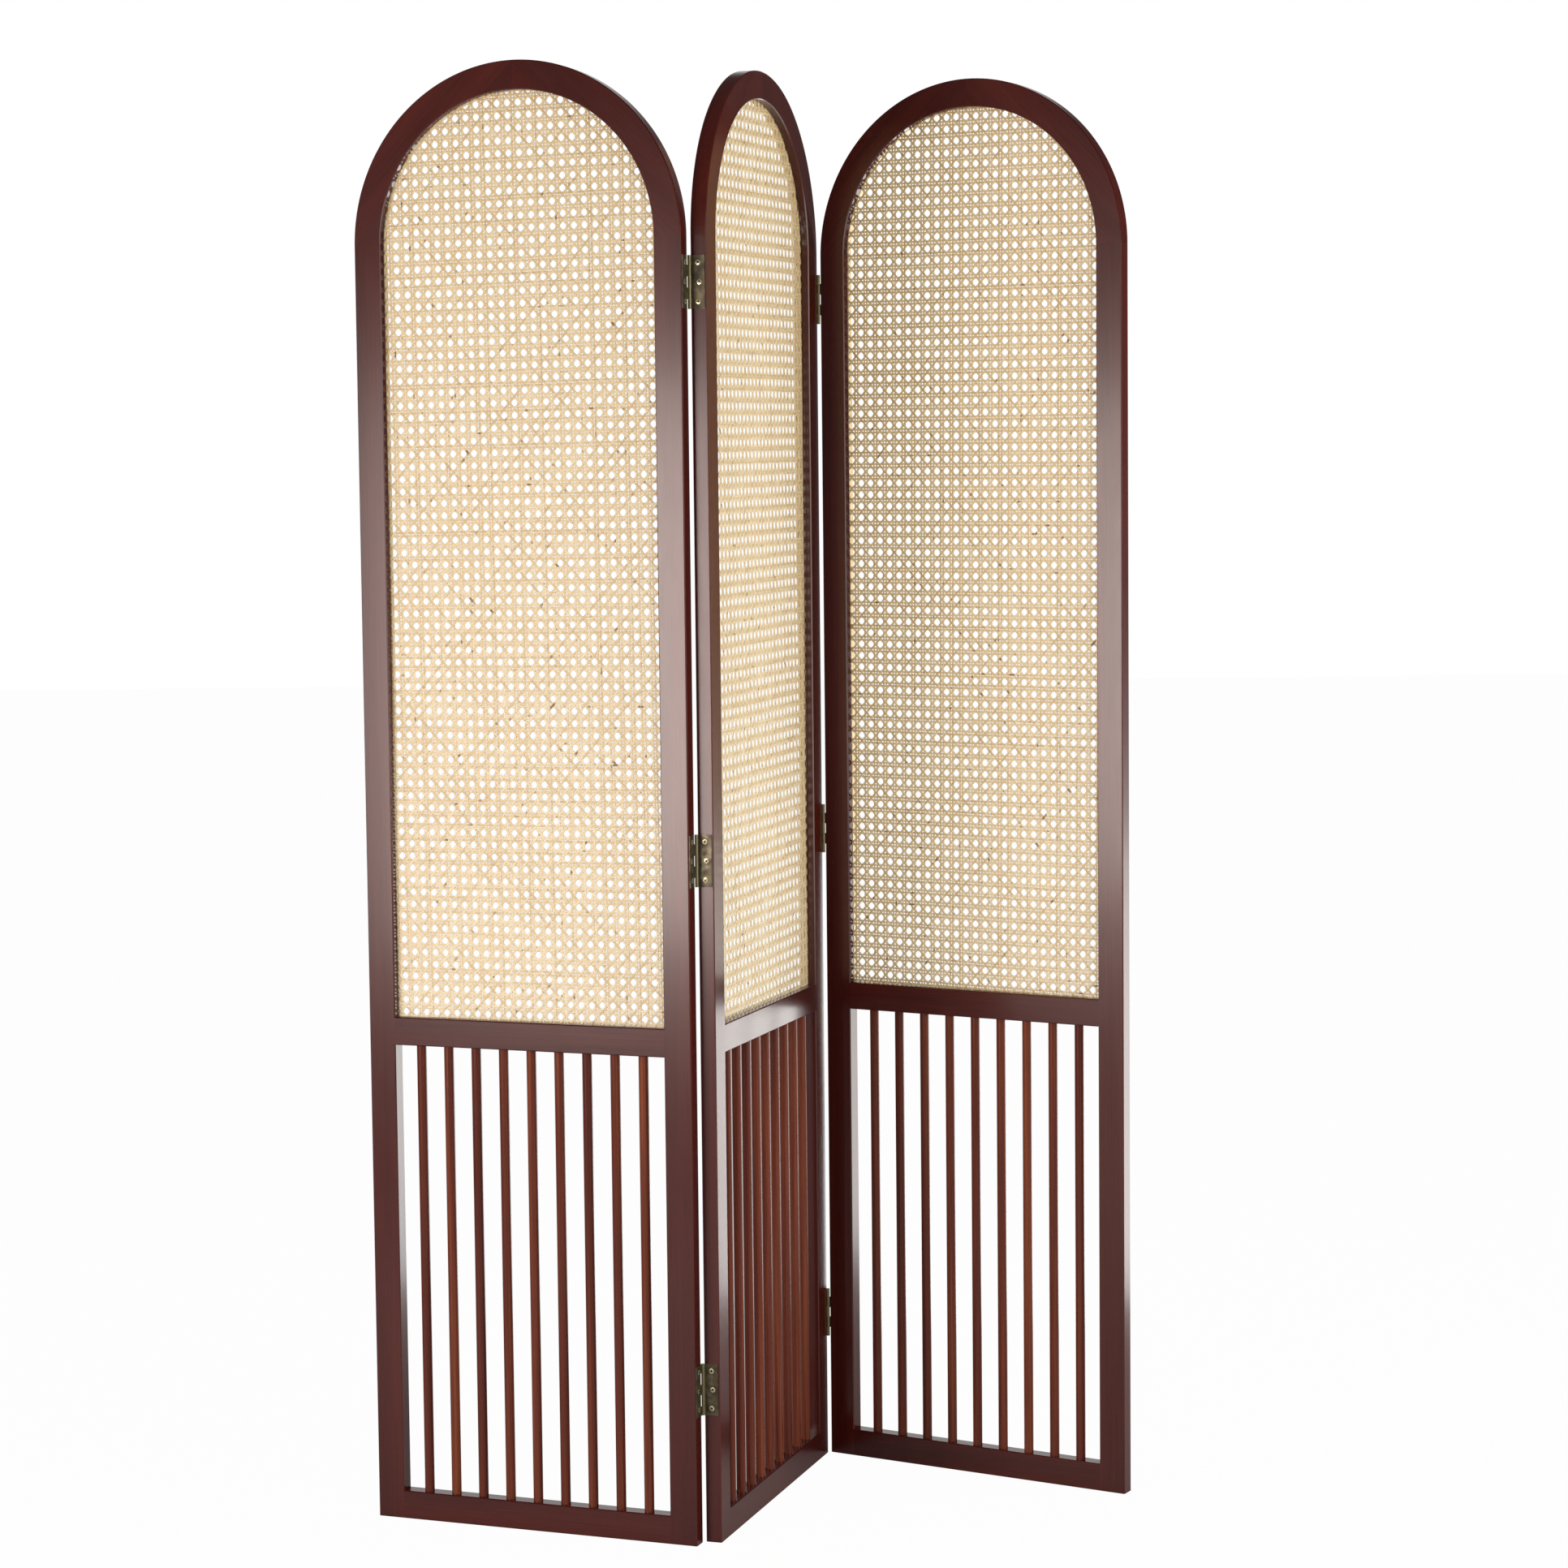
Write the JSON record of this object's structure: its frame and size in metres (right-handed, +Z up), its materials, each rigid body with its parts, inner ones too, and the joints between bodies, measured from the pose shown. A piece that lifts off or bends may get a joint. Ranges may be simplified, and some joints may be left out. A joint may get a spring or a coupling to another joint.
{
  "type": "folding screen",
  "caption": "Free-standing folding screen of hinged arched panels, with woven cane above a middle rail and round spindles below it.",
  "frame": {"origin": "on the floor, under the middle of the bounding box of the screen as it stands in its zigzag", "axes": "+Z up, +Y towards the rear of the screen, +X to the right as seen from the front"},
  "size_m": [0.954, 0.4402, 1.8],
  "materials": {
    "mahogany_lacquer": "satin lacquered mahogany-stained hardwood",
    "spindle_lacquer": "satin lacquered mahogany-stained spindles",
    "woven_cane": "natural open-weave cane webbing",
    "rattan_bead": "natural rattan strip",
    "bare_hardwood": "bare hardwood",
    "antique_bronze": "antique bronzed brass, worn at the edges",
    "brass_screws": "plain brass",
    "hinge_steel": "bronzed steel pin"
  },
  "bodies": {
    "middle_panel": {"left_fold_bottom_hinge_leaf_on_middle_panel": "antique_bronze", "left_fold_middle_hinge_leaf_on_middle_panel": "antique_bronze", "left_fold_middle_hinge_pin": "hinge_steel", "left_fold_top_hinge_leaf_on_middle_panel": "antique_bronze", "left_fold_top_hinge_pin": "hinge_steel", "middle_panel_bottom_rail": "mahogany_lacquer", "middle_panel_cane": "woven_cane", "middle_panel_cane_bead": "rattan_bead", "middle_panel_hinge_screws": "brass_screws", "middle_panel_left_arch": "mahogany_lacquer", "middle_panel_left_stile": "mahogany_lacquer", "middle_panel_loose_tenons": "bare_hardwood", "middle_panel_middle_rail": "mahogany_lacquer", "middle_panel_right_arch": "mahogany_lacquer", "middle_panel_right_stile": "mahogany_lacquer", "middle_panel_spindles": "spindle_lacquer", "right_fold_bottom_hinge_leaf_on_middle_panel": "antique_bronze", "right_fold_bottom_hinge_pin": "hinge_steel", "right_fold_middle_hinge_leaf_on_middle_panel": "antique_bronze", "right_fold_middle_hinge_pin": "hinge_steel", "right_fold_top_hinge_leaf_on_middle_panel": "antique_bronze", "right_fold_top_hinge_pin": "hinge_steel"},
    "left_panel": {"left_fold_bottom_hinge_leaf_on_left_panel": "antique_bronze", "left_fold_bottom_hinge_pin": "hinge_steel", "left_fold_middle_hinge_leaf_on_left_panel": "antique_bronze", "left_fold_top_hinge_leaf_on_left_panel": "antique_bronze", "left_panel_bottom_rail": "mahogany_lacquer", "left_panel_cane": "woven_cane", "left_panel_cane_bead": "rattan_bead", "left_panel_hinge_screws": "brass_screws", "left_panel_left_arch": "mahogany_lacquer", "left_panel_left_stile": "mahogany_lacquer", "left_panel_loose_tenons": "bare_hardwood", "left_panel_middle_rail": "mahogany_lacquer", "left_panel_right_arch": "mahogany_lacquer", "left_panel_right_stile": "mahogany_lacquer", "left_panel_spindles": "spindle_lacquer"},
    "right_panel": {"right_fold_bottom_hinge_leaf_on_right_panel": "antique_bronze", "right_fold_middle_hinge_leaf_on_right_panel": "antique_bronze", "right_fold_top_hinge_leaf_on_right_panel": "antique_bronze", "right_panel_bottom_rail": "mahogany_lacquer", "right_panel_cane": "woven_cane", "right_panel_cane_bead": "rattan_bead", "right_panel_hinge_screws": "brass_screws", "right_panel_left_arch": "mahogany_lacquer", "right_panel_left_stile": "mahogany_lacquer", "right_panel_loose_tenons": "bare_hardwood", "right_panel_middle_rail": "mahogany_lacquer", "right_panel_right_arch": "mahogany_lacquer", "right_panel_right_stile": "mahogany_lacquer", "right_panel_spindles": "spindle_lacquer"}
  },
  "joints": [
    {"name": "left_fold", "type": "hinge", "parent": "middle_panel", "child": "left_panel", "pos_m": [-0.06438, -0.20148, 0], "axis": [0, 0, -1], "range_deg": [-91.7, 88.3]},
    {"name": "right_fold", "type": "hinge", "parent": "middle_panel", "child": "right_panel", "pos_m": [0.09355, 0.20358, 0], "axis": [0, 0, -1], "range_deg": [-101.8, 78.2]}
  ]
}
